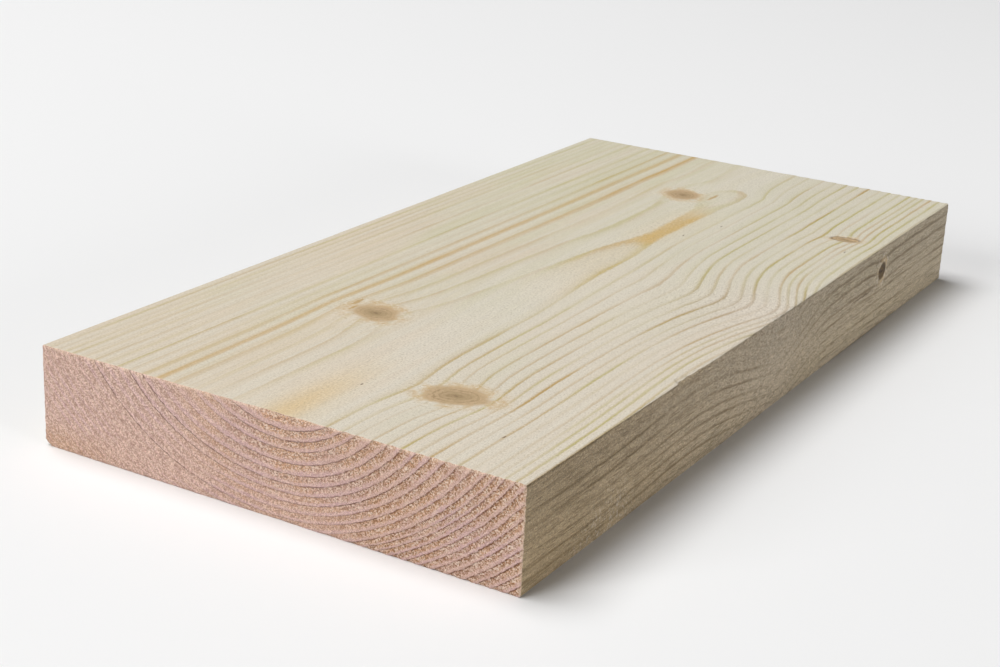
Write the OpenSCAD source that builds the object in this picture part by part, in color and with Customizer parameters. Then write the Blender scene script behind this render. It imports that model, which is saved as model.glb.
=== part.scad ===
// Planed softwood plank: one short length of spruce board, sawn from the log, planed on its
// four long faces and crosscut at both ends.
//
// Frame: X runs across the width, Y along the grain, Z up through the thickness. The origin is
// the centre of the underside. The heart side of the board, nearest the pith, is the top.

/* [Board] */
// Planed width across the grain, in mm
board_width = 145; // [70:1:250]
// Planed thickness, in mm
board_thickness = 28; // [16:1:75]
// Length along the grain, in mm
board_length = 300; // [150:10:2400]

/* [Edges] */
// Broken arris that planing leaves on a long edge, in mm
arris = 0.4; // [0.1:0.1:1.5]
// Width of the eased lower left edge, measured across the underside, in mm
eased_width = 2.1; // [0.2:0.1:6]
// Height of the eased lower left edge, measured up the left side, in mm
eased_height = 1.6; // [0.2:0.1:6]

/* [Finish] */
// Colour of the planed faces
face_colour = "#DDD0B0";

/* [Hidden] */

// Cross section of the board in the XZ plane, drawn as X and Y: the lower edge lies on Y = 0.
module board_section() {
    right = board_width / 2;
    left = -right;
    polygon([
        [left + eased_width, 0],
        [right - arris, 0],
        [right, arris],
        [right, board_thickness - arris],
        [right - arris, board_thickness],
        [left + arris, board_thickness],
        [left, board_thickness - arris],
        [left, eased_height],
    ]);
}

// The board itself: one piece, with both ends cut square to its length.
module plank() {
    color(face_colour)
        rotate([90, 0, 0])
            linear_extrude(height = board_length, center = true)
                board_section();
}

plank();
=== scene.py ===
"""Looks for the planed spruce plank.

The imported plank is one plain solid. Here it is replaced by a closed mesh of the same size that has
the sawn relief of its two ends, eased edges, a nick and knots, and by a wood that is one solid
pattern: growth rings round a pith above the board, bent by branches that leave the pith. Every
face is a cut through that one pattern, so a ring or a knot runs on from face to face.

Board measures are in millimetres: "across" from the left edge, "along" from the near end and
"deep" down from the top face.
"""
import math

import bpy
import numpy as np
from mathutils import Matrix, Vector


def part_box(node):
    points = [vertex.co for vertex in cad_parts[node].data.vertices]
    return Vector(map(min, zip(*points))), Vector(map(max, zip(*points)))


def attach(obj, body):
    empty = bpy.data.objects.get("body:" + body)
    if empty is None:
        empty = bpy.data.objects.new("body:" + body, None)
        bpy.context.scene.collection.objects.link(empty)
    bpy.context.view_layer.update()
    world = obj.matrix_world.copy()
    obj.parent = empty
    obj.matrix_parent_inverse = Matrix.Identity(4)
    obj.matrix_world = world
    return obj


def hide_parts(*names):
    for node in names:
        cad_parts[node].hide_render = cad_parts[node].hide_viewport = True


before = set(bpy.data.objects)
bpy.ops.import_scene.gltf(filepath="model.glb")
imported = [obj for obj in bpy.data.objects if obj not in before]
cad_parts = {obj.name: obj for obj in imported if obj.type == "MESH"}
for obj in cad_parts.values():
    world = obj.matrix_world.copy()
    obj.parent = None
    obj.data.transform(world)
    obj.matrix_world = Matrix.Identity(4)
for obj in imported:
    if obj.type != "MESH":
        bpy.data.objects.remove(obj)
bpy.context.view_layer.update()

MM = 0.001
LOW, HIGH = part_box("plank")
WIDTH, LENGTH, THICK = [(high - low) / MM for low, high in zip(LOW, HIGH)]


# ----- The wood: growth rings and branches -----

# The pith runs above the top face.
PITH_ACROSS = 72.5
PITH_HEIGHT = 36.0
# A ring is an arc below the pith; deeper rings are flatter.
ARC_RADIUS = 17.3
ARC_GROWTH = 1.9
# Depth of the outside of each growth ring under the pith, at the near end.
RING_DEPTHS = (
    -4.0, -0.2, 3.6, 6.4, 9.0, 12.3, 15.2, 17.8, 20.3, 22.6, 25.0, 27.1, 29.3, 31.5, 33.0, 34.4,
    36.0, 37.8, 39.6, 41.3, 43.2, 45.4, 47.1, 49.0, 51.0, 53.0, 55.0, 57.0, 59.0, 61.0, 63.0,
)
# The ring whose crest the top face just shaves, as a long flame.
FLAME_RING = 2
FLAME_ACROSS = 79.8
# A soft amber stain lies over the pith at the near end.
STAIN_ACROSS = 76.5
# Rings whose outer line is resinous left of the pith: (ring, strength at the near end, at the far end).
RESIN_RINGS = ((7, 0.55, 0.25), (6, 1.0, 0.80), (5, 0.50, 0.90), (4, 0.05, 0.50))
# Rings whose outer line shows as a dark groove in the left of the sawn ends.
SPLIT_RINGS = (7, 8, 11)
# How the pith wanders sideways along the board, and how the rings rise with it: (along, mm).
PITH_DRIFT = (
    (0, 3.4), (60, 3.8), (95, 4.2), (120, 5.2), (150, 6.3), (185, 7.5), (250, 7.3), (300, 5.0),
)
RING_RISE = (
    (0, 0.0), (60, 0.6), (95, 1.2), (120, 1.8), (150, 2.4), (172, 2.76), (188, 3.34), (222, 3.38),
    (238, 3.3), (253, 2.93), (260, 3.02), (267, 3.95), (300, 4.3),
)
# Where that rise and drift act: centre across, and reach.
DRIFT_ACROSS = 79.0
DRIFT_REACH = 24.0


class Branch:
    """A branch, as its knot shows on the top face. Lengths in mm, tilt in degrees."""

    def __init__(self, across, along, radius, stretch, tilt, taper, bend, reach, dark):
        self.across, self.along = across, along
        # The knot is stretched in one direction, tilted from the across direction.
        self.radius, self.stretch, self.tilt = radius, stretch, math.radians(tilt)
        # How much thicker the branch gets a millimetre further out.
        self.taper = taper
        # How far it bends the rings round it, and how far away the bend reaches.
        self.bend, self.reach = bend, reach
        self.dark = dark


BRANCHES = (
    Branch(53.3, 75.0, 6.3, 1.08, -20, 0.012, 2.0, 12.5, 0.0),
    Branch(103.5, 35.9, 6.1, 1.14, 35, 0.012, 2.2, 10.5, 0.0),
    Branch(65.6, 247.0, 5.7, 1.20, -50, 0.012, 0.9, 9.0, 0.12),
    Branch(131.3, 232.0, 2.4, 1.25, 70, 0.006, 0.8, 6.0, 1.0),
)
# A branch leans a little towards the far end as it grows.
BRANCH_LEAN = 0.08
# A branch that was sawn away beyond the right edge left its wavy grain.
WAVE_ALONG = 148.0
WAVE_BEND = 4.5
# Before that wave the rings rise a little along the right edge.
SWELL_ALONG = 92.0
SWELL_RISE = 1.4


def step(start, end, value):
    """0 before start, 1 after end, smooth between."""
    t = np.clip((value - start) / (end - start), 0.0, 1.0)
    return t * t * (3.0 - 2.0 * t)


def bell(value, middle, reach):
    """1 at the middle, falling away smoothly on both sides."""
    return np.exp(-(((value - middle) / reach) ** 2))


def curve(points, value):
    """A smooth curve through (place, height) points."""
    places, heights = np.array(points, float).T
    slopes = np.gradient(heights, places)
    i = np.clip(np.searchsorted(places, value) - 1, 0, len(places) - 2)
    gap = places[i + 1] - places[i]
    t = np.clip((value - places[i]) / gap, 0.0, 1.0)
    from_left = (2 * t**3 - 3 * t**2 + 1) * heights[i] + (t**3 - 2 * t**2 + t) * gap * slopes[i]
    from_right = (3 * t**2 - 2 * t**3) * heights[i + 1] + (t**3 - t**2) * gap * slopes[i + 1]
    return from_left + from_right


def arc_depth(across, deep):
    """Depth, under the pith, of the ring that passes through a point of a straight log."""
    aside = across - PITH_ACROSS
    radius = ARC_RADIUS + ARC_GROWTH * deep
    bend = 2 * ARC_GROWTH - 1
    return deep + (np.sqrt(radius * radius + bend * aside * aside) - radius) / bend


def branch_offset(branch, across, along, deep):
    """Offset of a point from a branch's axis: (sideways, along the board, out along the axis)."""
    lean = np.array((branch.across - PITH_ACROSS, PITH_HEIGHT))
    lean = lean / np.linalg.norm(lean)
    sideways = (across - branch.across) * lean[1] - deep * lean[0]
    outward = (across - branch.across) * lean[0] + deep * lean[1]
    return sideways, along - branch.along - BRANCH_LEAN * outward, outward


def wave_at(across, along, deep):
    """Strength of the wavy grain beside the lost branch."""
    away = np.sqrt((along - WAVE_ALONG) ** 2 + 16.0) - 4.0
    reach = np.where(along < WAVE_ALONG, 24.0, 17.0)
    return np.exp(-((away / reach) ** 1.25) - deep / 60.0) * step(82.0, 146.0, across)


def ring_depth(across, along, deep):
    """Depth of the ring through each point, with the pith's drift, the branches and the wave."""
    near_pith = bell(across, DRIFT_ACROSS, DRIFT_REACH)
    depth = arc_depth(across - curve(PITH_DRIFT, along) * near_pith, deep)
    depth = depth + curve(RING_RISE, along) * near_pith
    flat_side = bell(across, 90.0, 13.0) * np.exp(-deep / 5.0)
    depth = depth - 1.3 * flat_side * (1.0 - step(95.0, 150.0, along))
    depth = depth + 2.2 * step(150.0, 188.0, along) * step(82.0, 112.0, across)
    for branch in BRANCHES:
        sideways, lengthways, _ = branch_offset(branch, across, along, deep)
        away = np.hypot(sideways, 0.75 * lengthways)
        depth = depth - branch.bend * bell(away, 0.0, branch.reach)
    swell = bell(along, SWELL_ALONG, 36.0) * step(112.0, 145.0, across)
    return depth + SWELL_RISE * swell - WAVE_BEND * wave_at(across, along, deep)


def ring_number(depth):
    """Ring count, whole at the outside of each ring."""
    return np.interp(depth, RING_DEPTHS, np.arange(len(RING_DEPTHS), dtype=float))


def nearest_branch(across, along, deep):
    """For the nearest branch: offset in its radii, distance in its radii, and its darkness."""
    best = np.full(across.shape, 1e9)
    offset = np.zeros(across.shape + (2,))
    dark = np.zeros(across.shape)
    for branch in BRANCHES:
        sideways, lengthways, outward = branch_offset(branch, across, along, deep)
        radius = branch.radius * np.clip(1.0 + branch.taper * outward, 0.5, 1.6)
        turn = np.array((math.cos(branch.tilt), math.sin(branch.tilt)))
        long_way = (sideways * turn[0] + lengthways * turn[1]) / (radius * branch.stretch)
        short_way = (lengthways * turn[0] - sideways * turn[1]) / radius
        scaled = np.stack((long_way, short_way), axis=-1)
        distance = np.hypot(long_way, short_way)
        closer = distance < best
        best = np.where(closer, distance, best)
        offset = np.where(closer[..., None], scaled, offset)
        dark = np.where(closer, branch.dark * (1.0 + step(2.0, 7.0, deep)), dark)
    return offset, best, dark


# ----- The mesh -----

# The eased lower left edge is larger than the other arrises.
ARRIS = 0.4
EASED_ACROSS = 2.1
EASED_UP = 1.6
# The top right edge is chipped: it starts abruptly and fades out. Place along, length, depth.
NICK_ALONG = 79.0
NICK_REACH = 26.0
NICK_DEEP = 0.95
# Beside the wavy grain that same edge is a little torn, this far both ways.
TORN_REACH = 20.0
# The relief of the sawn ends fades out over this length of the long faces.
END_FADE = 2.0

LATTICE_SIZE = 64
rng = np.random.default_rng(28)
LATTICE = rng.random((LATTICE_SIZE, LATTICE_SIZE, LATTICE_SIZE))


def soft_noise(a, b, c=0.5):
    """Smooth noise from 0 to 1, one cell a unit."""
    places = np.broadcast_arrays(a, b, c)
    whole = [np.floor(place).astype(int) for place in places]
    part = [place - cell for place, cell in zip(places, whole)]
    part = [share * share * (3 - 2 * share) for share in part]
    total = 0.0
    for corner in np.ndindex(2, 2, 2):
        weight = 1.0
        for far_side, share in zip(corner, part):
            weight = weight * (share if far_side else 1 - share)
        cell = tuple((low + far_side) % LATTICE_SIZE for low, far_side in zip(whole, corner))
        total = total + weight * LATTICE[cell]
    return total


def across_lines():
    """Lattice lines across the board."""
    eased = np.array((0.0, 0.4, 0.95, 1.5))
    return np.concatenate((eased, np.linspace(EASED_ACROSS, WIDTH - ARRIS, 260), (WIDTH,)))


def up_lines():
    """Lattice lines up the board."""
    eased = np.array((0.0, 0.4, 0.8, 1.2))
    return np.concatenate((eased, np.linspace(EASED_UP, THICK - ARRIS, 48), (THICK,)))


def along_lines():
    """Lattice lines along the board: close at the ends and at the knots, wider apart elsewhere."""
    place = np.linspace(0.0, LENGTH, 6001)
    from_end = np.minimum(place, LENGTH - place)
    pitch = 0.3 + 1.9 * step(0.0, 6.0, from_end)
    for branch in BRANCHES:
        beyond = np.abs(place - branch.along) - branch.radius
        pitch = np.minimum(pitch, 1.0 + 1.2 * step(1.0, 6.0, beyond))
    pitch = np.minimum(pitch, 0.7 + 1.5 * step(2.0, 6.0, np.abs(place - NICK_ALONG)))
    pitch = np.minimum(pitch, 1.3 + 0.9 * step(16.0, TORN_REACH, np.abs(place - WAVE_ALONG)))
    density = 1 / pitch
    count = np.concatenate(((0.0,), np.cumsum(0.5 * (density[1:] + density[:-1]) * np.diff(place))))
    lines = 4 * int(count[-1] / 4)
    return np.interp(np.linspace(0.0, count[-1], lines + 1), count, place)


LINES = (across_lines(), along_lines(), up_lines())
LAST = [len(lines) - 1 for lines in LINES]


class Patch:
    """One face of the box as a grid of cells. Strides say how many lattice lines a cell spans."""

    def __init__(self, name, fixed, at_end, strides=(1, 1), borders=((1, 1), (1, 1))):
        self.name = name
        self.level = LAST[fixed] if at_end else 0
        self.axes = [axis for axis in range(3) if axis != fixed]
        self.strides = strides
        self.borders = borders
        # Turned so that every face looks outward.
        self.reverse = (fixed == 1) == at_end

    def corner(self, u, v):
        """The lattice point at steps u and v of this face."""
        place = [self.level] * 3
        place[self.axes[0]] = u
        place[self.axes[1]] = v
        return tuple(place)

    def outline(self, u0, u1, v0, v1):
        """Lattice points round one cell, with a finer neighbour's points on a shared border."""
        last_u, last_v = LAST[self.axes[0]], LAST[self.axes[1]]
        low_u = self.borders[0][0] if v0 == 0 else self.strides[0]
        high_u = self.borders[0][1] if v1 == last_v else self.strides[0]
        low_v = self.borders[1][0] if u0 == 0 else self.strides[1]
        high_v = self.borders[1][1] if u1 == last_u else self.strides[1]
        ring = [(u, v0) for u in range(u0, u1, low_u)]
        ring += [(u1, v) for v in range(v0, v1, high_v)]
        ring += [(u, v1) for u in range(u1, u0, -high_u)]
        ring += [(u0, v) for v in range(v1, v0, -low_v)]
        points = [self.corner(u, v) for u, v in ring]
        return points[::-1] if self.reverse else points

    def cells(self):
        """The outline of every cell of the face."""
        for u in range(0, LAST[self.axes[0]], self.strides[0]):
            for v in range(0, LAST[self.axes[1]], self.strides[1]):
                yield self.outline(u, u + self.strides[0], v, v + self.strides[1])


# Borders are the strides of the neighbours: (at low v, at high v), (at low u, at high u).
PATCHES = (
    Patch("top", 2, True),
    Patch("underside", 2, False, (4, 2), ((1, 1), (2, 2))),
    Patch("near_end", 1, False),
    Patch("far_end", 1, True),
    Patch("left_edge", 0, False, (2, 1), ((2, 1), (1, 1))),
    Patch("right_edge", 0, True, (2, 1), ((2, 1), (1, 1))),
)
SAWN_ENDS = ("near_end", "far_end")
LONG_EDGES = ("left_edge", "right_edge")


def ease(a, b, size_a, size_b):
    """Pulls a square edge in to a bevel: a and b are distances from the two faces, in mm."""
    part_a = np.clip(a / size_a, 0.0, 1.0)
    part_b = np.clip(b / size_b, 0.0, 1.0)
    pull = 0.5 * (1 - part_a) * (1 - part_b)
    return a + pull * size_a, b + pull * size_b


def end_relief(across, deep, along):
    """Depth of the torn, sawn end grain, in mm: the soft wood is sunk below each hard ring."""
    part = ring_number(ring_depth(across, along, deep)) % 1.0
    soft = 1.0 - step(0.30, 0.62, part)
    figured = 0.15 + 0.85 * step(38.0, 78.0, across)
    torn = soft_noise(across * 1.1, deep * 1.1, 3.3)
    crumbs = soft_noise(across * 0.5, deep * 0.5, 9.1)
    return figured * (soft * (0.18 + 0.11 * torn) + 0.03 * torn + 0.04 * crumbs)


def top_relief(across, along):
    """Depth of the planed top face below flat, in mm: soft wood, wavy grain, knots and a pit."""
    deep = np.zeros_like(across)
    ripple = wave_at(across, along, deep)
    part = ring_number(ring_depth(across, along, deep)) % 1.0
    washed = 0.03 * (1.0 - step(0.6, 0.95, part))
    offset, distance, dark = nearest_branch(across, along, deep)
    knot = 1.0 - step(0.75, 1.1, distance)
    rough = soft_noise(across * 0.9, along * 0.9, 7.7)
    loose_side = step(-0.3, 0.9, offset[..., 0] - 0.4 * offset[..., 1])
    pit = knot * loose_side * (dark > 0.5) * (0.25 + 0.45 * rough)
    return washed * (1 + 2.2 * ripple) + knot * (0.03 + 0.05 * rough) + pit


def edge_relief(along, deep):
    """Depth of the long edges below flat, in mm: they are planed too, but rougher than the top."""
    waves = 0.05 * soft_noise(along * 0.45, deep * 1.3)
    return waves + 0.03 * soft_noise(along * 1.3, deep * 1.6, 5.5)


def shape(points):
    """Moves lattice points (in mm, as across, along, up) to the real, worn surface."""
    across, along, up = points.T
    at_side = (across <= 0) | (across >= WIDTH)
    at_top = up >= THICK
    sink_top = np.where(at_top, top_relief(across, along), 0.0)
    sink_side = np.where(at_side, edge_relief(along, THICK - up), 0.0)
    # The saw leaves a small ragged arris round each end.
    half = np.where(along < LENGTH / 2, 0.0, LENGTH)
    sink_end = end_relief(across, THICK - up, half)
    ragged = 0.10 + 0.18 * soft_noise(across * 1.9, up * 1.9, half / LENGTH)
    sink_end = sink_end + np.where(at_side | at_top | (up <= 0), ragged, 0.0)
    sink_end = sink_end * np.clip(1.0 - np.abs(along - half) / END_FADE, 0.0, 1.0)

    worn = ARRIS * (0.75 + 0.5 * soft_noise(along * 0.11, 4.4))
    torn = 1.3 * ARRIS * bell(along, WAVE_ALONG - 4.0, TORN_REACH) * soft_noise(along * 0.8, 6.1) ** 2
    past_nick = along - NICK_ALONG
    nick = step(-2.0, 2.2, past_nick) * (1.0 - step(0.1 * NICK_REACH, NICK_REACH, past_nick))
    nick = NICK_DEEP * nick * (0.4 + 1.2 * soft_noise(along * 0.7, 0.2))
    from_right, from_top = ease(WIDTH - across, THICK - up, worn + torn + 2.2 * nick, worn + 0.9 * nick)
    from_right, up = ease(from_right, THICK - from_top, worn, worn)
    across, from_top = ease(WIDTH - from_right, THICK - up, worn, worn)
    across, up = ease(across, THICK - from_top, EASED_ACROSS * worn / ARRIS, EASED_UP * worn / ARRIS)

    across = across + np.where(across < WIDTH / 2, sink_side, -sink_side)
    along = along + np.where(half > 0, -sink_end, sink_end)
    return np.stack((across, along, up - sink_top), axis=1)


# Where each face lies on the flat sheet of the texture map: (right, up) of its corner, in mm.
GAP = 4.0
SHEET = 2 * WIDTH + 2 * THICK + 5 * GAP
SHEET_PLACES = {
    "top": (GAP, GAP),
    "underside": (2 * GAP + WIDTH, GAP),
    "left_edge": (3 * GAP + 2 * WIDTH, GAP),
    "right_edge": (4 * GAP + 2 * WIDTH + THICK, GAP),
    "near_end": (GAP, 2 * GAP + LENGTH),
    "far_end": (2 * GAP + WIDTH, 2 * GAP + LENGTH),
}


def sheet_place(patch, lattice):
    """Texture-map place of a lattice point of a face."""
    across, along, up = [LINES[axis][lattice[axis]] for axis in range(3)]
    if patch.name in SAWN_ENDS:
        right, rise = across, up
    elif patch.name in LONG_EDGES:
        right, rise = up, along
    else:
        right, rise = across, along
    corner = SHEET_PLACES[patch.name]
    return (corner[0] + right) / SHEET, (corner[1] + rise) / SHEET


def store(mesh, name, values):
    """Keeps one number or vector a vertex on the mesh, for the material to read."""
    kind, key = ("FLOAT", "value") if values.ndim == 1 else ("FLOAT_VECTOR", "vector")
    attribute = mesh.attributes.new(name, kind, "POINT")
    attribute.data.foreach_set(key, np.ascontiguousarray(values, dtype=np.float32).ravel())


def line_strengths():
    """How dark each ring's outer line is: plain, resinous (at each end), split in the ends' left."""
    plain = 0.2 + 0.6 * rng.random(len(RING_DEPTHS))
    plain[: FLAME_RING + 1] = (0.0, 0.0, 0.55)
    resin = np.zeros((2, len(RING_DEPTHS)))
    for ring, at_near, at_far in RESIN_RINGS:
        resin[:, ring] = at_near, at_far
    split = 0.08 * np.ones(len(RING_DEPTHS))
    split[list(SPLIT_RINGS)] = 1.0
    return plain, resin, split


def store_wood(mesh, points):
    """Writes the wood's pattern at every vertex: points are across, along, up in mm."""
    across, along, up = points.T
    deep = THICK - up
    depth = ring_depth(across, along, deep)
    ring = ring_number(depth)
    moved = 1.5 * (depth - arc_depth(across, deep))
    offset, distance, dark = nearest_branch(across, along, deep)
    nearest = np.round(ring).astype(int)
    plain, resin, split = line_strengths()
    near_resin, far_resin = resin[:, nearest]
    left = 1.0 - step(50.0, 60.0, across)
    flame = 0.4 * step(90.0, 150.0, along) + 0.6 * step(181.0, 194.0, along)
    flame = flame * bell(across, FLAME_ACROSS, 8.0) * (1.0 - step(216.0, 242.0, along))
    loop = 0.5 * bell(across, FLAME_ACROSS, 12.0) * step(238.0, 252.0, along)
    stain = bell(across, STAIN_ACROSS, 5.5) * (1.0 - step(4.0, 58.0, along)) * (deep < 1.0)
    side = step(36.0, 74.0, across)
    # The figure of the sawn ends fades towards the underside below the pith.
    fading = 0.55 * step(15.0, 25.0, deep) * (1.0 - step(88.0, 106.0, across))
    middles = 0.5 * (np.array(RING_DEPTHS[1:]) + np.array(RING_DEPTHS[:-1]))
    strength = (0.78 + 0.58 * step(62.0, 108.0, across)) * (1.0 - 0.6 * loop)
    fields = {
        "ring": ring,
        "gap": np.interp(depth, middles, np.diff(RING_DEPTHS)),
        "grain": np.stack((across + moved, along, deep), axis=1),
        "knot": np.stack((offset[:, 0], offset[:, 1], dark), axis=1),
        "knot_distance": distance,
        "line": plain[nearest] * strength,
        "resin": (near_resin + (far_resin - near_resin) * along / LENGTH) * left,
        "amber": flame,
        "stain": stain,
        "groove": side * (1.0 - fading) + (1.0 - side) * split[nearest],
        "side": side * (1.0 - fading),
        "wave": wave_at(across, along, deep),
    }
    for name, values in fields.items():
        store(mesh, name, values)


def build_plank():
    """The closed mesh of the board."""
    index = {}
    faces, kinds, sheet = [], [], []
    for patch in PATCHES:
        kind = 1 if patch.name in SAWN_ENDS else 2 if patch.name in LONG_EDGES else 0
        for outline in patch.cells():
            faces.append([index.setdefault(point, len(index)) for point in outline])
            kinds.append(kind)
            sheet.extend(sheet_place(patch, point) for point in outline)
    lattice = np.array(list(index), dtype=int)
    flat = np.stack([LINES[axis][lattice[:, axis]] for axis in range(3)], axis=1)
    points = shape(flat)
    mesh = bpy.data.meshes.new("sawn_plank")
    mesh.from_pydata((np.array(LOW) + points * MM).tolist(), [], faces)
    mesh.polygons.foreach_set("material_index", kinds)
    mesh.shade_smooth()
    layer = mesh.uv_layers.new(name="OFBake")
    layer.uv.foreach_set("vector", np.array(sheet, dtype=np.float32).ravel())
    store_wood(mesh, points)
    mesh.validate()
    mesh.update()
    plank = bpy.data.objects.new("sawn_plank", mesh)
    bpy.context.scene.collection.objects.link(plank)
    return plank


# ----- Materials -----


def colour(red, green, blue):
    """A colour given as on a screen, 0 to 255, as a shader's linear colour."""
    linear = []
    for value in (red, green, blue):
        value /= 255.0
        linear.append(value / 12.92 if value <= 0.04045 else ((value + 0.055) / 1.055) ** 2.4)
    return (*linear, 1.0)


# The wide pale part of the rings on the long faces.
WARM_CREAM = colour(220, 206, 185)
GREEN_CREAM = colour(213, 207, 182)
PALE_BAND = colour(220, 213, 197)
PALE_RIGHT = colour(222, 215, 201)
PALE_WAVE = colour(224, 212, 198)
AMBER_STAIN = colour(219, 194, 152)
FLAME_GLOW = colour(220, 196, 150)
# Browner long edges, partly painted shade that makes them darker than the top.
SHADED_EDGE_BROWN = colour(163, 141, 107)
EDGE_WAVE = colour(190, 180, 162)
# The ring lines on the long faces.
OLIVE_LINE = colour(190, 178, 112)
ORANGE_LINE = colour(191, 160, 104)
WAVE_LINE = colour(182, 158, 128)
RESIN_LINE = colour(200, 160, 86)
FLAME_LINE = colour(211, 177, 110)
EDGE_LINE = colour(118, 97, 62)
# Flecks and small marks.
PALE_FLECK = colour(236, 229, 212)
EDGE_FLECK = colour(226, 219, 197)
DULL_FLECK = colour(168, 150, 116)
RIPPED_FIBRE = colour(122, 102, 70)
RESIN_MARK = colour(186, 150, 90)
PIN_MARK = colour(100, 76, 52)
# A knot, from its pith outwards, and the torn wood round it.
KNOT_PITH = colour(104, 82, 58)
KNOT_CORE = colour(146, 122, 88)
KNOT_INNER = colour(174, 151, 116)
KNOT_OUTER = colour(194, 168, 132)
KNOT_PATCH = colour(200, 173, 140)
KNOT_FLECK = colour(166, 142, 106)
KNOT_YEAR = colour(136, 110, 76)
KNOT_RIM = colour(172, 138, 94)
KNOT_BARK = colour(92, 62, 38)
KNOT_HALO = colour(213, 188, 148)
KNOT_SPECKLE = colour(202, 166, 112)
KNOT_ARC = colour(194, 158, 104)
TORN_LIGHT = colour(232, 222, 206)
TORN_DARK = colour(168, 146, 108)
DEAD_DARK = colour(48, 30, 4)
DEAD_LIGHT = colour(92, 68, 26)
# The sawn ends: hard late wood, soft early wood, crumbs, pits and grooves; the grooves' dark tone is
# partly painted shadow.
HARD_BROWN = colour(202, 167, 154)
HARD_MAUVE = colour(200, 165, 162)
SOFT_PINK = colour(204, 165, 147)
SOFT_GOLD = colour(207, 163, 131)
SOFT_LEFT = colour(193, 160, 145)
CORNER_STAIN = colour(186, 146, 110)
# Cream crumbs, and the painted highlights on the needles of the left end.
CREAM_CRUMB_AND_HIGHLIGHT = colour(242, 220, 202)
MAUVE_PIT = colour(146, 110, 92)
GOLD_PIT = colour(148, 102, 62)
SCORED_LINE = colour(150, 116, 106)
# Dark ring boundary, partly painted shadow under the raised hard wood.
MAUVE_GROOVE_SHADE = colour(124, 90, 84)
GOLD_GROOVE_SHADE = colour(134, 92, 66)
FRAYED_TOP = colour(230, 202, 174)
RIGHT_RIM = colour(224, 200, 174)


class Maker:
    """Makes a material's nodes by short calls. A value is a number, a tuple or a socket."""

    def __init__(self, name):
        self.material = bpy.data.materials.new(name)
        self.material.use_nodes = True
        self.nodes = self.material.node_tree.nodes
        self.links = self.material.node_tree.links
        self.shader = self.nodes["Principled BSDF"]

    def put(self, value, socket):
        if isinstance(value, bpy.types.NodeSocket):
            self.links.new(value, socket)
        else:
            socket.default_value = value

    def node(self, kind, *values, **settings):
        made = self.nodes.new(kind)
        for key, value in settings.items():
            setattr(made, key, value)
        for value, socket in zip(values, made.inputs):
            if value is not None:
                self.put(value, socket)
        return made

    def math(self, operation, a, b=None):
        return self.node("ShaderNodeMath", a, b, operation=operation).outputs[0]

    def times(self, first, *others):
        for other in others:
            first = self.math("MULTIPLY", first, other)
        return first

    def plus(self, first, *others):
        for other in others:
            first = self.math("ADD", first, other)
        return first

    def total(self, *products):
        """The sum of some products, each given as its factors."""
        return self.plus(*(self.times(*factors) for factors in products))

    def most(self, a, b):
        return self.math("MAXIMUM", a, b)

    def flip(self, a):
        return self.math("SUBTRACT", 1.0, a)

    def swing(self, value, size):
        """A 0 to 1 value as a change from -size/2 to size/2."""
        return self.times(self.plus(value, -0.5), size)

    def step(self, value, start, end):
        """0 at start, 1 at end, smooth between. The end may lie below the start."""
        made = self.node("ShaderNodeMapRange", value, start, end, interpolation_type="SMOOTHSTEP")
        return made.outputs[0]

    def field(self, name):
        """A value stored on the mesh."""
        made = self.node("ShaderNodeAttribute", attribute_name=name)
        return made.outputs["Vector" if name in ("grain", "knot") else "Fac"]

    def place(self):
        """Where a point lies in the shared frame, in metres."""
        return self.node("ShaderNodeTexCoord").outputs["Object"]

    def vector(self, operation, a, b=None):
        return self.node("ShaderNodeVectorMath", a, b, operation=operation)

    def parts(self, vector):
        return self.node("ShaderNodeSeparateXYZ", vector).outputs

    def scaled(self, vector, factors):
        return self.vector("MULTIPLY", vector, factors).outputs[0]

    def moved(self, vector, offset):
        return self.vector("ADD", vector, offset).outputs[0]

    def turned(self, vector, axis, degrees):
        made = self.node("ShaderNodeVectorRotate", vector, rotation_type=axis)
        made.inputs["Angle"].default_value = math.radians(degrees)
        return made.outputs[0]

    def noise_node(self, vector, factors, detail=2.0, roughness=0.5):
        made = self.node("ShaderNodeTexNoise", self.scaled(vector, factors))
        made.inputs["Scale"].default_value = 1.0
        made.inputs["Detail"].default_value = detail
        made.inputs["Roughness"].default_value = roughness
        return made

    def noise(self, vector, factors, detail=2.0, roughness=0.5):
        """Soft noise. The factors are its cells a millimetre, across, along and deep."""
        return self.noise_node(vector, factors, detail, roughness).outputs["Fac"]

    def wander(self, vector, factors, sizes, detail=2.0):
        """A soft random offset, up to half of each size either way."""
        cloud = self.noise_node(vector, factors, detail).outputs["Color"]
        return self.scaled(self.moved(cloud, (-0.5, -0.5, -0.5)), sizes)

    def crumbs(self, vector, factors):
        """A random value for each crumb of the wood, from 0 to 1."""
        made = self.node("ShaderNodeTexVoronoi", self.scaled(vector, factors))
        made.inputs["Scale"].default_value = 1.0
        return self.parts(made.outputs["Color"])[0]

    def mix(self, amount, a, b):
        """Colour a turned into colour b by the amount."""
        made = self.node("ShaderNodeMix", amount, data_type="RGBA")
        self.put(a, made.inputs[6])
        self.put(b, made.inputs[7])
        return made.outputs[2]

    def over(self, base, *layers):
        """The base colour with tones over it. A layer is (tone, amount, amount, ...), multiplied."""
        for tone, *amounts in layers:
            base = self.mix(self.times(*amounts), base, tone)
        return base

    def shade(self, base, light):
        """The base colour made lighter or darker by the factor light."""
        made = self.node("ShaderNodeVectorMath", base, operation="SCALE")
        self.put(light, made.inputs["Scale"])
        return made.outputs[0]

    def finish(self, base, roughness, height, depth, gloss):
        """Puts the colour, roughness and relief (height, at depth in metres) on the shader."""
        bump = self.node("ShaderNodeBump")
        bump.inputs["Distance"].default_value = depth
        self.put(height, bump.inputs["Height"])
        self.put(base, self.shader.inputs["Base Color"])
        self.put(roughness, self.shader.inputs["Roughness"])
        self.put(bump.outputs["Normal"], self.shader.inputs["Normal"])
        self.shader.inputs["Specular IOR Level"].default_value = gloss
        return self.material


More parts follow.
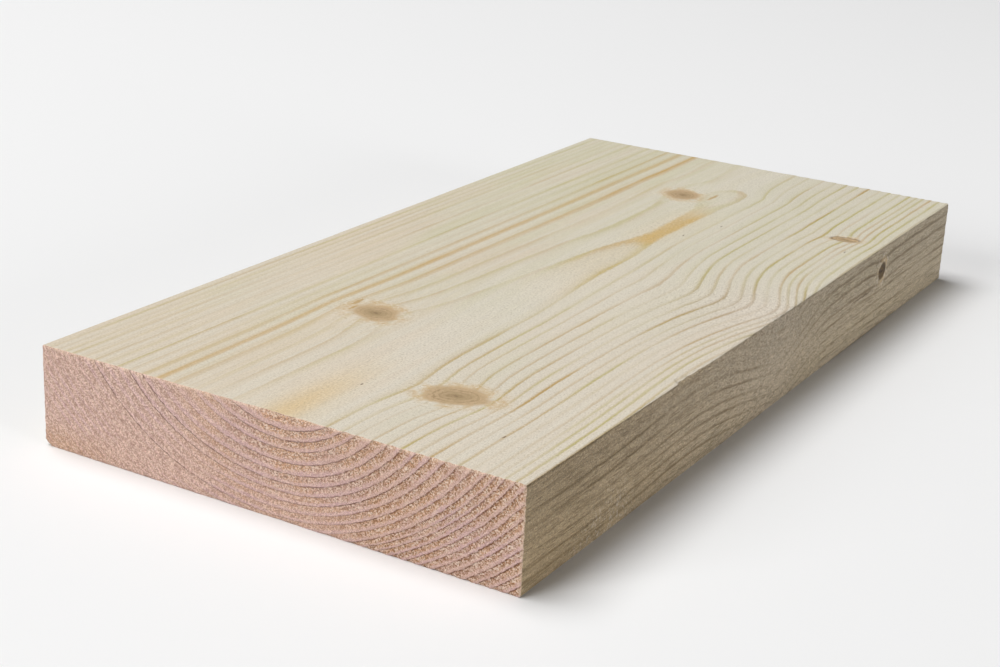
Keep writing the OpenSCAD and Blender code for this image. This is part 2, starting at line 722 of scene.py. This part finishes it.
class Pattern:
    """The wood pattern stored on the mesh, as one material reads it."""

    def __init__(self, make, ragged):
        for name in ("grain", "line", "resin", "amber", "stain", "groove", "side", "wave"):
            setattr(self, name, make.field(name))
        stray = make.noise(self.grain, (0.5, 0.07, 0.5))
        shake = make.noise(self.grain, (1.3, 0.32, 1.3), detail=3.0)
        gap = make.field("gap")
        lift = make.plus(make.swing(stray, ragged), make.swing(shake, ragged))
        self.ring = make.plus(make.field("ring"), make.math("DIVIDE", lift, gap))
        # 0 just past a ring's outer line, rising to 1 at the next one.
        self.part = make.math("FRACT", self.ring)
        # Distances to the ring's outer line, in mm.
        self.inside_line = make.times(make.flip(self.part), gap)
        self.past_line = make.times(self.part, gap)
        self.across, self.along, self.deep = make.parts(self.grain)


# ----- Knots and small marks -----


def knot_radius(make, grain):
    """Distance from the nearest knot's centre, in its own slightly uneven radii, and its darkness."""
    wander = make.wander(grain, (0.15, 0.15, 0.15), (0.45, 0.45, 0.0), detail=1.0)
    side, length, dark = make.parts(make.moved(wander, make.field("knot")))
    radius = make.math("SQRT", make.plus(make.times(side, side), make.times(length, length)))
    return make.most(radius, make.plus(make.field("knot_distance"), -0.25)), dark


def knot_years(make, radius, fine):
    """The thin year rings of a cut branch."""
    count = make.times(make.plus(radius, make.swing(fine, 0.25)), 4.5)
    part = make.math("FRACT", count)
    years = make.times(make.step(part, 0.45, 0.85), make.step(part, 1.0, 0.90))
    return make.times(years, make.step(radius, 0.9, 0.7))


def knot_rim(make, radius, dark, fine, patchy):
    """The broken dark rim of a cut branch, with bark on a dead one."""
    rim = make.times(make.step(radius, 0.76, 0.94), make.step(radius, 1.14, 1.02))
    bark = make.times(make.step(make.plus(fine, patchy), 0.74, 0.92), dark)
    return make.times(rim, make.most(make.times(make.step(patchy, 0.48, 0.64), 0.40), bark))


def knot_body(make, radius, dark, fine, patchy):
    """Colour of the cut branch: brown round its pith, tan further out, nearly black if dead."""
    shown = make.plus(0.22, make.times(make.step(patchy, 0.40, 0.58), 0.26))
    core = make.step(make.plus(radius, make.swing(fine, 0.7)), 0.40, 0.10)
    dead = make.mix(make.step(fine, 0.42, 0.58), DEAD_DARK, DEAD_LIGHT)
    return make.over(
        make.mix(make.step(radius, 0.10, 0.90), KNOT_INNER, KNOT_OUTER),
        (KNOT_PATCH, make.step(patchy, 0.42, 0.60), 0.35),
        (KNOT_FLECK, make.step(fine, 0.46, 0.66), 0.40),
        (KNOT_CORE, core, 0.34),
        (KNOT_PITH, make.step(radius, 0.11, 0.03), 0.55),
        (KNOT_YEAR, knot_years(make, radius, fine), shown),
        (make.mix(dark, KNOT_RIM, KNOT_BARK), knot_rim(make, radius, dark, fine, patchy)),
        (dead, make.step(dark, 1.1, 1.9), 0.92),
    )


def knot_tint(make, base, grain):
    """Knots over a base colour. Returns the colour and the knots' relief."""
    radius, dark = knot_radius(make, grain)
    fine = make.noise(grain, (0.9, 0.9, 0.9), detail=3.0, roughness=0.6)
    patchy = make.noise(make.moved(grain, (31.0, 5.0, 11.0)), (0.22, 0.22, 0.22))
    grit = make.noise(make.moved(grain, (7.0, 41.0, 3.0)), (2.2, 1.1, 2.2))
    edge = make.plus(radius, make.swing(fine, 0.16))

    near = make.step(edge, 1.75, 0.90)
    around = make.step(radius, 2.6, 1.2)
    arc = make.times(make.step(radius, 1.17, 1.25), make.step(radius, 1.34, 1.26))
    tinted = make.over(
        base,
        (KNOT_HALO, near, make.step(patchy, 0.34, 0.56), 0.75),
        (KNOT_SPECKLE, near, make.step(grit, 0.50, 0.66), make.step(patchy, 0.38, 0.56), 0.55),
        (KNOT_ARC, arc, make.step(patchy, 0.48, 0.62), 0.35),
        (TORN_LIGHT, around, make.step(fine, 0.54, 0.64), 0.60),
        (TORN_DARK, around, make.step(fine, 0.42, 0.33), 0.28),
    )
    body = knot_body(make, radius, dark, fine, patchy)
    body = make.shade(body, make.plus(make.times(grit, 0.18), 0.98))
    tinted = make.mix(make.step(edge, 1.16, 0.76), tinted, body)
    return tinted, make.times(around, fine)


# Small marks: across, along, deep, then half their size the same three ways, in mm.
PIN_MARKS = (
    (126.9, 20.6, 0.0, 0.30, 0.9, 1.0),
    (81.0, 28.0, 0.0, 0.28, 0.7, 1.0),
    (87.7, 201.0, 0.0, 0.26, 1.1, 1.0),
    (93.3, 219.0, 0.0, 0.26, 0.9, 1.0),
    (136.8, 218.0, 0.0, 0.26, 1.0, 1.0),
)
RESIN_MARKS = (
    (43.6, 79.8, 0.0, 0.75, 3.4, 1.0),
    (45.4, 74.6, 0.0, 0.5, 2.6, 1.0),
    (75.6, 250.5, 0.0, 0.8, 5.0, 1.0),
)
CRACKS = ((145.0, 216.0, 12.9, 1.0, 10.5, 0.35),)


def marks(make, grain, places):
    """Mask of small marks drawn out along the grain."""
    wander = make.wander(grain, (0.5, 0.5, 0.5), (1.2 * MM, 0.0, 1.2 * MM))
    place = make.moved(make.place(), wander)
    total = 0.0
    for across, along, deep, *half in places:
        middle = (-LOW.x - across * MM, -LOW.y - along * MM, -HIGH.z + deep * MM)
        reach = [1 / (size * MM) for size in half]
        offset = make.scaled(make.moved(place, middle), reach)
        distance = make.vector("LENGTH", offset).outputs["Value"]
        total = make.most(total, make.step(distance, 1.2, 0.5))
    return total


# ----- Long faces -----


class Fibres:
    """The random fibres of a face along the board."""

    def __init__(self, make, wood, rough):
        grain = wood.grain
        self.bands = make.noise(grain, (0.30, 0.010, 0.30))
        self.streaks = make.noise(grain, (1.2, 0.035, 1.2), detail=3.0)
        self.fibres = make.noise(grain, (4.0, 0.20, 4.0), detail=3.0, roughness=0.6)
        self.flecks = make.noise(grain, (3.2, 1.3, 3.2), detail=3.0, roughness=0.65)
        grit_place = make.moved(grain, (5.0, 3.0, 17.0))
        self.grit = make.noise(grit_place, (2.4, 1.7, 2.4), detail=3.0, roughness=0.7)
        ripped_place = make.moved(grain, (60.0, 12.0, 31.0))
        ripped = make.noise(ripped_place, (2.5, 0.13, 2.5), roughness=0.6)
        self.ripped = make.times(make.step(ripped, 0.46, 0.37), 0.46 * rough)
        self.right = make.step(wood.across, 48.0, 84.0)
        # 0 at the near end and 1 at the far end.
        self.far = make.times(wood.along, 1.0 / LENGTH)
        # How much the flecks stand out: most on the long edges and in the wavy grain.
        torn = make.plus(1.0 + 0.4 * rough, make.times(wood.wave, 1.3 - rough))
        self.torn = make.plus(torn, make.times(self.right, 0.25 - 0.25 * rough))


def late_wood(make, wood, rough):
    """The dark outer line of each ring: a soft shoulder inside and a sharp fall outside."""
    width = make.noise(wood.grain, (0.35, 0.02, 0.35))
    width = make.plus(0.50 - 0.18 * rough, width, make.times(wood.resin, 0.9))
    inside = make.math("DIVIDE", wood.inside_line, width)
    shoulder = make.times(make.step(wood.part, 0.52, 0.97), 0.34 - 0.16 * rough)
    sharp = make.times(wood.amber, 0.19)
    core_start = make.plus(0.62, make.times(sharp, -1.0))
    core = make.times(make.step(inside, core_start, make.plus(0.08, sharp)), 0.66 + 0.16 * rough)
    tail_width = make.plus(0.26, make.times(wood.resin, 0.5))
    tail = make.times(make.step(wood.past_line, tail_width, 0.0), 0.85)
    return make.most(make.plus(shoulder, core), tail)


def fine_lines(make, wood):
    """Faint lines inside the wide rings, on the left."""
    count = make.times(wood.ring, 2.0)
    part = make.math("FRACT", make.plus(count, 0.35))
    lines = make.times(make.step(part, 0.62, 0.92), make.step(part, 1.0, 0.94))
    return make.times(lines, make.flip(wood.side))


def early_wood(make, wood, fibres, rough):
    """Colour of the wide pale part of each ring."""
    warmth = make.noise(make.moved(wood.grain, (40.0, 90.0, 10.0)), (0.035, 0.014, 0.035))
    green = make.plus(make.times(warmth, 1.6), make.times(fibres.far, -0.8))
    brown = make.plus(make.times(make.step(fibres.far, 0.5, 0.0), 0.28), 0.66)
    return make.over(
        make.mix(make.step(green, 0.68, 0.10), WARM_CREAM, GREEN_CREAM),
        (PALE_BAND, make.step(fibres.bands, 0.38, 0.60), 0.55),
        (PALE_RIGHT, fibres.right, 0.40),
        (PALE_WAVE, wood.wave, 0.55),
        (AMBER_STAIN, wood.stain, 0.95),
        # Partly painted shade: the long edges browner and darker than the top, more towards the near
        # end.
        (SHADED_EDGE_BROWN, brown, rough),
        (EDGE_WAVE, wood.wave, 0.24 * rough),
        (FLAME_GLOW, wood.amber, 0.25),
    )


def line_amount(make, wood, fibres, rough):
    """How strongly the ring lines show: they fade and break, and torn fibres partly hide them."""
    breaks = make.noise(make.moved(wood.grain, (8.0, 21.0, 5.0)), (0.10, 0.018, 0.10))
    whole = make.plus(make.times(make.step(breaks, 0.36, 0.64), 0.85), 0.45)
    strength = make.times(wood.line, whole)
    strength = make.times(strength, make.plus(0.70, make.times(fibres.streaks, 0.60)))
    strength = make.plus(strength, make.times(wood.resin, 0.50), make.times(wood.amber, 0.14))
    hidden = make.times(make.plus(0.30, make.times(wood.wave, 0.65)), rough)
    amount = make.times(late_wood(make, wood, rough), strength, make.flip(hidden))
    return make.plus(amount, make.times(fine_lines(make, wood), 0.16))


def line_tint(make, wood, fibres, rough):
    """Colour of the ring lines: olive or orange, amber where there is resin."""
    warm = make.step(make.plus(fibres.bands, make.times(fibres.far, -0.12)), 0.37, 0.55)
    return make.over(
        make.mix(warm, OLIVE_LINE, ORANGE_LINE),
        (WAVE_LINE, wood.wave),
        (RESIN_LINE, wood.resin),
        (FLAME_LINE, make.math("MINIMUM", make.times(wood.amber, 1.6), 1.0)),
        (EDGE_LINE, rough),
    )


def fibre_light(make, wood, fibres, rough):
    """How light or dark the single fibres are, as a factor round 1; on the long edges also painted
    highlight and shade in the wavy grain and painted light low down.
    """
    cloud = make.noise(wood.grain, (0.022, 0.012, 0.03))
    light = make.plus(
        1.0,
        make.swing(fibres.streaks, 0.12 + 0.12 * rough),
        make.swing(fibres.fibres, 0.26 + 0.34 * rough),
        make.times(make.swing(fibres.flecks, 0.42), fibres.torn),
        make.swing(cloud, 0.07),
        make.swing(fibres.grit, 0.10 + 0.55 * rough),
    )
    crumbs = make.crumbs(make.moved(wood.grain, (9.0, 50.0, 2.0)), (3.0, 1.5, 3.0))
    grains = make.step(fibres.grit, 0.45, 0.56)
    crisp = make.plus(make.swing(crumbs, 0.36 * rough), make.swing(grains, 0.14 * rough))
    # On the long edges, painted highlights and shade on the curled fibres of the wavy grain.
    wave_sheen_and_shade = make.noise(make.turned(wood.grain, "X_AXIS", 35), (1.4, 0.35, 2.6))
    crisp = make.plus(crisp, make.times(make.swing(wave_sheen_and_shade, 1.1 * rough), wood.wave))
    # Painted light: the long edges get darker near the top and paler towards the underside, to even out
    # the shade that falls on their lower half.
    painted_low_fill = make.times(make.plus(make.step(wood.deep, 2.0, 26.0), -0.32), 0.32 * rough)
    return make.plus(light, crisp, painted_low_fill)


def flecked(make, surface, fibres, rough):
    """Pale and dull flecks, and the dark ripped fibres of the long edges, over a surface."""
    fleck = make.mix(rough, PALE_FLECK, EDGE_FLECK)
    return make.over(
        surface,
        (fleck, make.step(fibres.flecks, 0.56, 0.70), fibres.torn, 0.44 - 0.20 * rough),
        (DULL_FLECK, make.step(fibres.flecks, 0.44, 0.31), fibres.torn, 0.32),
        (RIPPED_FIBRE, fibres.ripped),
    )


def long_grain(name, rough, relief_depth):
    """A face along the board: pale softwood with ring lines, fibres, flecks and knots.

    Rough is 0 for a smooth face and 1 for a rough one, which has torn fibres and is browner, partly by
    painted shade that keeps it darker than the top.
    """
    make = Maker(name)
    wood = Pattern(make, 0.35)
    fibres = Fibres(make, wood, rough)
    amount = line_amount(make, wood, fibres, rough)
    surface = early_wood(make, wood, fibres, rough)
    surface = make.mix(amount, surface, line_tint(make, wood, fibres, rough))
    surface = make.shade(surface, fibre_light(make, wood, fibres, rough))
    surface = flecked(make, surface, fibres, rough)
    surface, knot_relief = knot_tint(make, surface, wood.grain)
    surface = make.over(
        surface,
        (RESIN_MARK, marks(make, wood.grain, RESIN_MARKS), 0.70),
        (PIN_MARK, marks(make, wood.grain, PIN_MARKS + CRACKS), 0.75),
    )
    roughness = make.total((0.50,), (fibres.flecks, 0.16), (amount, -0.10))
    height = make.total(
        (fibres.fibres, 0.6),
        (amount, 0.4),
        (fibres.flecks, fibres.torn, 0.6),
        (fibres.ripped, -0.8),
        (knot_relief, 0.8),
        (fibres.grit, 1.2 * rough),
    )
    return make.finish(surface, roughness, height, relief_depth * MM, 0.36)


def planed_spruce():
    """The top and the underside: planed smooth."""
    return long_grain("planed_spruce", 0.0, 0.08)


def edge_spruce():
    """The two long edges: rougher, with the ring lines partly hidden by torn fibres, and darker than
    the top, partly by painted shade.
    """
    return long_grain("edge_spruce", 1.0, 0.26)


# ----- Sawn ends -----


class EndGrain:
    """The torn grain of a sawn end."""

    def __init__(self, make, wood):
        grain = wood.grain
        self.left = make.flip(wood.side)
        self.right = make.step(wood.across, 84.0, 112.0)
        ragged = make.swing(make.noise(grain, (1.0, 0.0, 1.0)), 0.5)
        ragged = make.times(ragged, make.flip(make.times(self.left, 0.8)))
        # Where the soft early wood is torn: inside each ring, and just past its line.
        torn = make.flip(make.step(make.plus(wood.part, ragged), 0.44, 0.76))
        self.torn = make.most(torn, make.times(make.step(wood.past_line, 0.5, 0.2), 0.9))
        coarse = make.times(self.torn, wood.side)
        self.fine_share = make.plus(0.54, make.times(wood.side, -0.16), make.times(coarse, 0.25))
        self.coarse = make.times(coarse, make.plus(1.05, make.times(self.right, 0.20)))
        self.wide = make.crumbs(grain, (2.8, 0.5, 2.8))
        self.close = make.crumbs(make.moved(grain, (13.0, 7.0, 3.0)), (4.2, 0.8, 4.2))
        # On the left the rings run down at 45 degrees, and so do the needles and the scoring.
        slanted = make.turned(grain, "Y_AXIS", 45)
        self.needles = make.crumbs(slanted, (2.4, 0.6, 5.0))
        self.scored = make.noise(slanted, (0.24, 0.2, 4.0))
        self.grit = make.noise(grain, (3.6, 0.6, 3.6), detail=3.0, roughness=0.7)


def end_borders(make, grain):
    """Masks of the frayed band under the top arris, the right rim and the lower left corner."""
    across, _, up = make.parts(make.place())
    fray = make.noise(grain, (0.9, 0.9, 0.9), detail=4.0, roughness=0.6)
    fray = make.swing(fray, 3.4 * MM)
    below_top = make.plus(make.math("SUBTRACT", HIGH.z, up), fray)
    from_right = make.plus(make.math("SUBTRACT", HIGH.x, across), fray)
    from_left = make.math("SUBTRACT", across, LOW.x)
    above_floor = make.math("SUBTRACT", up, LOW.z)
    top = make.step(below_top, 1.0 * MM, 0.3 * MM)
    right = make.step(from_right, 0.9 * MM, 0.2 * MM)
    corner = make.times(
        make.step(from_left, 34 * MM, 4 * MM),
        make.step(above_floor, 9 * MM, 1 * MM),
    )
    return top, right, corner


def end_wood(make, wood, end, corner):
    """Colour of a sawn end before its crumbs: mauve hard wood and golden soft wood."""
    cloud = make.noise(wood.grain, (0.05, 0.05, 0.07))
    gold = make.noise(make.moved(wood.grain, (3.0, 60.0, 20.0)), (0.10, 0.04, 0.14))
    hard = make.mix(make.step(cloud, 0.36, 0.64), HARD_BROWN, HARD_MAUVE)
    soft = make.mix(make.step(gold, 0.38, 0.62), SOFT_PINK, SOFT_GOLD)
    soft = make.mix(wood.side, SOFT_LEFT, soft)
    surface = make.mix(end.torn, hard, soft)
    return make.over(surface, (CORNER_STAIN, corner, 0.60))


def end_light(make, end):
    """How light or dark the single crumbs are, as a factor round 1."""
    return make.total(
        (1.0,),
        (make.swing(end.grit, 0.70), make.flip(make.times(end.left, 0.20))),
        (make.swing(end.close, 0.16), make.plus(1.0, end.left)),
        (make.swing(end.scored, 0.45), end.left),
        (make.swing(end.needles, 0.40), end.left),
    )


def end_crumbs(make, surface, end):
    """Cream crumbs and dark pits over a surface; the cream needles on the left are painted highlights.
    """
    cream = make.plus(0.08, make.times(end.coarse, 0.64))
    cream = make.times(make.step(end.wide, 0.70, 0.84), cream)
    cream = make.most(cream, make.times(make.step(end.close, 0.70, 0.86), end.fine_share))
    # Painted highlights: cream glints on the slanted needles on the left.
    cream = make.most(cream, make.times(make.step(end.needles, 0.80, 0.90), end.left, 0.42))
    pit = make.plus(0.06, make.times(end.coarse, 0.62))
    pit = make.times(make.step(end.wide, 0.25, 0.12), pit)
    fine_pit = make.times(make.step(end.close, 0.27, 0.12), make.times(end.fine_share, 0.8))
    pit = make.most(pit, fine_pit)
    pit = make.most(pit, make.times(make.step(end.needles, 0.16, 0.07), end.left, 0.45))
    return make.over(
        surface,
        (CREAM_CRUMB_AND_HIGHLIGHT, cream),
        (make.mix(end.right, MAUVE_PIT, GOLD_PIT), pit),
        (SCORED_LINE, make.step(end.scored, 0.46, 0.36), end.left, 0.42),
    )


def end_groove(make, wood, end):
    """The dark groove outside each ring, its tone partly painted shadow under the raised hard wood:
    clean under the pith, rows of pits on the right.
    """
    broken = make.step(make.noise(wood.grain, (0.5, 0.1, 0.5), detail=3.0), 0.32, 0.52)
    pitted = make.plus(0.25, make.times(make.step(end.wide, 0.62, 0.40), 0.95))
    broken = make.plus(make.times(broken, make.flip(end.right)), make.times(pitted, end.right))
    thin = make.flip(make.times(end.left, 0.45))
    inside = make.math("DIVIDE", wood.inside_line, thin)
    past = make.math("DIVIDE", wood.past_line, thin)
    groove = make.most(make.step(inside, 0.18, 0.04), make.step(past, 0.24, 0.06))
    shown = make.plus(0.44, make.times(wood.line, 0.7), make.times(end.left, 0.30))
    return make.times(groove, make.times(wood.groove, shown, broken))


def sawn_spruce():
    """The crosscut ends: smooth mauve hard wood, torn golden soft wood, a dark groove between, partly
    painted shadow.
    """
    make = Maker("sawn_spruce")
    wood = Pattern(make, 0.5)
    end = EndGrain(make, wood)
    top, right, corner = end_borders(make, wood.grain)
    groove = end_groove(make, wood, end)
    # The groove's tone: the dark ring boundary, and partly painted shadow under the raised hard wood.
    groove_shade_tone = make.mix(end.right, MAUVE_GROOVE_SHADE, GOLD_GROOVE_SHADE)
    surface = end_wood(make, wood, end, corner)
    surface = make.shade(surface, end_light(make, end))
    surface = make.over(
        end_crumbs(make, surface, end),
        (groove_shade_tone, groove, 0.80),
        (FRAYED_TOP, top, make.step(end.grit, 0.42, 0.60), 0.65),
        (RIGHT_RIM, right, 0.5),
    )
    surface, knot_relief = knot_tint(make, surface, wood.grain)

    roughness = make.plus(0.62, make.times(end.torn, 0.2))
    height = make.times(end.grit, make.plus(0.8, make.times(end.left, -0.65)))
    height = make.plus(height, make.times(end.close, 0.25), make.times(end.wide, end.coarse, 0.5))
    height = make.times(height, make.plus(0.55, make.times(end.coarse, 0.6)))
    sunk = make.times(make.plus(0.12, make.times(wood.side, 0.88)), -0.35)
    height = make.plus(height, make.times(groove, -1.0), make.times(end.torn, sunk))
    return make.finish(surface, roughness, height, 0.22 * MM, 0.3)


def floor_paint():
    """Plain pale matt floor."""
    make = Maker("pale_floor")
    cloud = make.noise(make.place(), (2.0, 2.0, 2.0), detail=1.0)
    base = make.mix(cloud, (0.885, 0.885, 0.885, 1), (0.895, 0.895, 0.895, 1))
    return make.finish(base, 0.9, cloud, 0.0, 0.1)


# ----- Stage, light and camera -----


def aim(thing, place, target, roll=0.0):
    """Puts a light or camera at place, looking at target, turned by roll about its view."""
    look = (Vector(target) - Vector(place)).to_track_quat("-Z", "Y").to_matrix().to_4x4()
    thing.matrix_world = Matrix.Translation(place) @ look @ Matrix.Rotation(roll, 4, "Z")


def add_floor():
    reach = 12.0
    corners = [(-reach, -reach), (reach, -reach), (reach, reach), (-reach, reach)]
    mesh = bpy.data.meshes.new("floor")
    mesh.from_pydata([(x, y, LOW.z) for x, y in corners], [], [(0, 1, 2, 3)])
    mesh.materials.append(floor_paint())
    floor = bpy.data.objects.new("floor", mesh)
    bpy.context.scene.collection.objects.link(floor)


def add_light(name, place, size, power):
    lamp = bpy.data.lights.new(name, "AREA")
    lamp.shape = "DISK"
    lamp.size = size
    lamp.energy = power
    light = bpy.data.objects.new(name, lamp)
    bpy.context.scene.collection.objects.link(light)
    aim(light, place, (0, 0, 0))


# The even sky: how brightly it lights the board, and how bright it looks behind it.
WORLD_LIGHT = 0.06
WORLD_SHOWN = 0.9


def add_lights():
    """A wide lamp overhead, a soft one from the front left, a low one right and a faint even sky."""
    add_light("overhead", (-1.6, -0.25, 4.2), 3.0, 165.0)
    add_light("front", (-1.53, -3.7, 1.74), 2.4, 97.0)
    add_light("fill", (4.1, -0.6, 0.7), 1.3, 58.0)
    world = bpy.data.worlds.new("studio")
    world.use_nodes = True
    nodes, links = world.node_tree.nodes, world.node_tree.links
    path = nodes.new("ShaderNodeLightPath")
    blend = nodes.new("ShaderNodeMixShader")
    links.new(path.outputs["Is Camera Ray"], blend.inputs[0])
    lit, shown = nodes["Background"], nodes.new("ShaderNodeBackground")
    for sky, strength, entry in ((lit, WORLD_LIGHT, 1), (shown, WORLD_SHOWN, 2)):
        sky.inputs["Color"].default_value = (1.0, 1.0, 1.0, 1.0)
        sky.inputs["Strength"].default_value = strength
        links.new(sky.outputs[0], blend.inputs[entry])
    links.new(blend.outputs[0], nodes["World Output"].inputs[0])
    bpy.context.scene.world = world


# The camera stands before the near end, to its right, and looks down on the board.
AZIMUTH = 29.87
ELEVATION = 19.69
ROLL = 2.96
CAMERA_PLACE = (0.2492, -0.4730, 0.1951)
LENS = 65.6


def add_camera():
    lens = bpy.data.cameras.new("camera")
    lens.lens = LENS
    lens.clip_start = 0.01
    camera = bpy.data.objects.new("camera", lens)
    bpy.context.scene.collection.objects.link(camera)
    turn, rise = math.radians(AZIMUTH), math.radians(ELEVATION)
    look = Vector((-math.sin(turn) * math.cos(rise), math.cos(turn) * math.cos(rise), -math.sin(rise)))
    place = Vector(CAMERA_PLACE)
    aim(camera, place, place + look, math.radians(ROLL))
    bpy.context.scene.camera = camera


add_camera()
add_floor()
add_lights()
bpy.context.scene.view_settings.view_transform = "Standard"

plank = build_plank()
for material in (planed_spruce(), sawn_spruce(), edge_spruce()):
    plank.data.materials.append(material)
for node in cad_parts.values():
    node.data.materials.clear()
    node.data.materials.append(plank.data.materials[0])
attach(plank, "root")
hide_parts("plank")
